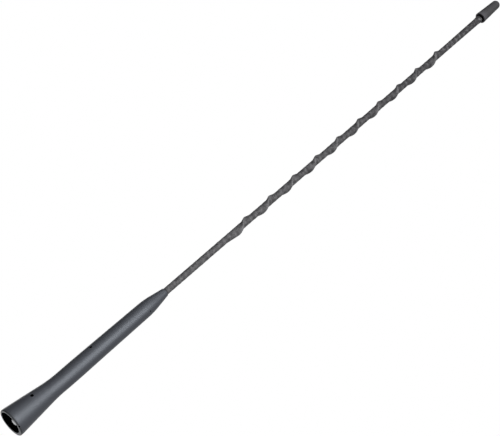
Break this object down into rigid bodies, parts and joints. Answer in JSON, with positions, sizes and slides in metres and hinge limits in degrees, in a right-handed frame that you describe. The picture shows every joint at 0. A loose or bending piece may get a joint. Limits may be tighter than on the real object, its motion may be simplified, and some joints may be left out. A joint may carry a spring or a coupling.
{
  "type": "car mast aerial",
  "caption": "Screw-on roof mast aerial for a car: springy mast with a spiral wind-noise bead, a long tapered rubber grip with a flared hollow skirt, and a domed tip cap.",
  "frame": {"origin": "middle of the skirt's mouth, on the axis of the thread at the level of the rim", "axes": "+Z along the mast to its tip, +X away from the side to which the soft skirt hangs"},
  "size_m": [0.0203, 0.0202, 0.5502],
  "materials": {
    "grip_rubber": "satin, fine moulded grain",
    "insert_steel": "turned, zinc plated",
    "rod_glass_fibre": "pultruded, matt",
    "winding_copper": "enamelled copper wire",
    "sleeve_plastic": "matt, slightly mottled",
    "bush_plastic": "matt",
    "cap_rubber": "satin"
  },
  "bodies": {
    "root": {"grip": "grip_rubber", "threaded_insert": "insert_steel", "core_rod": "rod_glass_fibre", "antenna_winding": "winding_copper", "mast_sleeve": "sleeve_plastic", "tip_bush": "bush_plastic", "tip_cap": "cap_rubber"}
  },
  "joints": []
}
